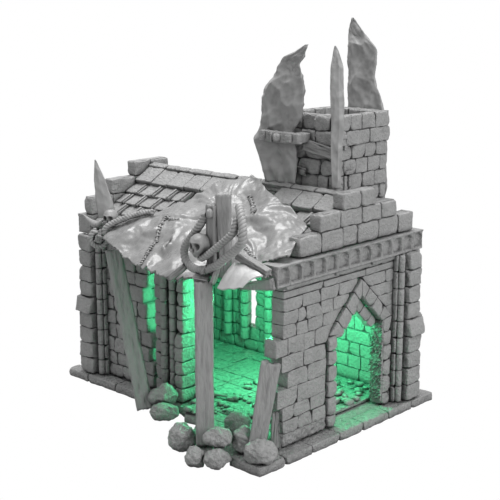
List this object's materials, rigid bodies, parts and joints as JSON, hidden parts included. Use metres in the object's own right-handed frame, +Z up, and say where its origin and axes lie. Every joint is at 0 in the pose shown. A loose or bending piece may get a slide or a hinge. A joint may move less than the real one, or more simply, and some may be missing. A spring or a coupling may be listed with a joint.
{
  "type": "miniature terrain ruin",
  "caption": "Ruined gothic chapel terrain piece: arched side doorway, broken open front under a propped hide awning, lift-off gabled roof and a lift-off chimney ringed with flint shards.",
  "frame": {"origin": "underside of the plinth, at the centre of its 192 x 120 mm main rectangle", "axes": "+X along the ridge towards the gable with the doorway, -Y towards the broken front, +Z up"},
  "size_m": [0.1939, 0.1658, 0.22],
  "materials": {
    "grey_resin": "unpainted grey print, sculpted as masonry",
    "timber_resin": "unpainted grey print, sculpted as split timber",
    "hide_resin": "unpainted grey print, smoother, sculpted as stitched hide",
    "bone_resin": "unpainted grey print, sculpted as bone",
    "flint_resin": "unpainted grey print, sculpted as flaked flint",
    "rope_resin": "unpainted grey print, sculpted as twisted rope"
  },
  "bodies": {
    "base": {"foundation_plinth": "grey_resin", "flagstone_floor": "grey_resin", "right_gable_wall": "grey_resin", "door_hood": "grey_resin", "door_arch": "grey_resin", "left_gable_wall": "grey_resin", "back_wall": "grey_resin", "front_wall_stub": "grey_resin", "front_pier": "grey_resin", "pier_front_left": "grey_resin", "pier_right_back": "grey_resin", "pier_back_left": "grey_resin", "pier_back_right": "grey_resin", "right_frieze": "grey_resin", "right_gable_parapet": "grey_resin", "left_gable_parapet": "grey_resin", "leaning_post": "timber_resin", "centre_post": "timber_resin", "short_prop": "timber_resin", "prop_offcut": "timber_resin", "lintel_plank": "timber_resin", "boulder_1": "grey_resin", "boulder_2": "grey_resin", "boulder_3": "grey_resin", "boulder_4": "grey_resin", "boulder_5": "grey_resin", "boulder_6": "grey_resin", "boulder_7": "grey_resin", "boulder_8": "grey_resin", "boulder_9": "grey_resin", "floor_bone": "bone_resin"},
    "roof": {"roof_deck": "timber_resin", "ridge_slabs_front_left": "grey_resin", "ridge_slabs_front_right": "grey_resin", "ridge_slabs_back": "grey_resin", "tiles_front_left": "grey_resin", "tiles_front_right": "grey_resin", "tiles_back": "grey_resin", "ridge_cap_1": "grey_resin", "ridge_cap_2": "grey_resin", "ridge_cap_3": "grey_resin", "hide_left": "hide_resin", "hide_middle": "hide_resin", "hide_right": "hide_resin", "hide_flap": "hide_resin", "lashed_mast": "timber_resin", "fallen_beam": "timber_resin", "broken_purlin": "timber_resin", "skull_left": "bone_resin", "skull_mast": "bone_resin", "left_stake": "flint_resin", "horn": "bone_resin", "canopy_log": "timber_resin", "left_rope": "rope_resin", "mast_rope": "rope_resin"},
    "tower": {"tower_stack": "grey_resin", "tower_beam": "grey_resin", "shard_left": "flint_resin", "shard_middle": "flint_resin", "shard_right": "flint_resin"}
  },
  "joints": [
    {"name": "roof_lift", "type": "slide", "parent": "base", "child": "roof", "axis": [0, 0, 1], "range_m": [0, 0.08]},
    {"name": "tower_lift", "type": "slide", "parent": "roof", "child": "tower", "axis": [0, 0, 1], "range_m": [0, 0.06]}
  ]
}
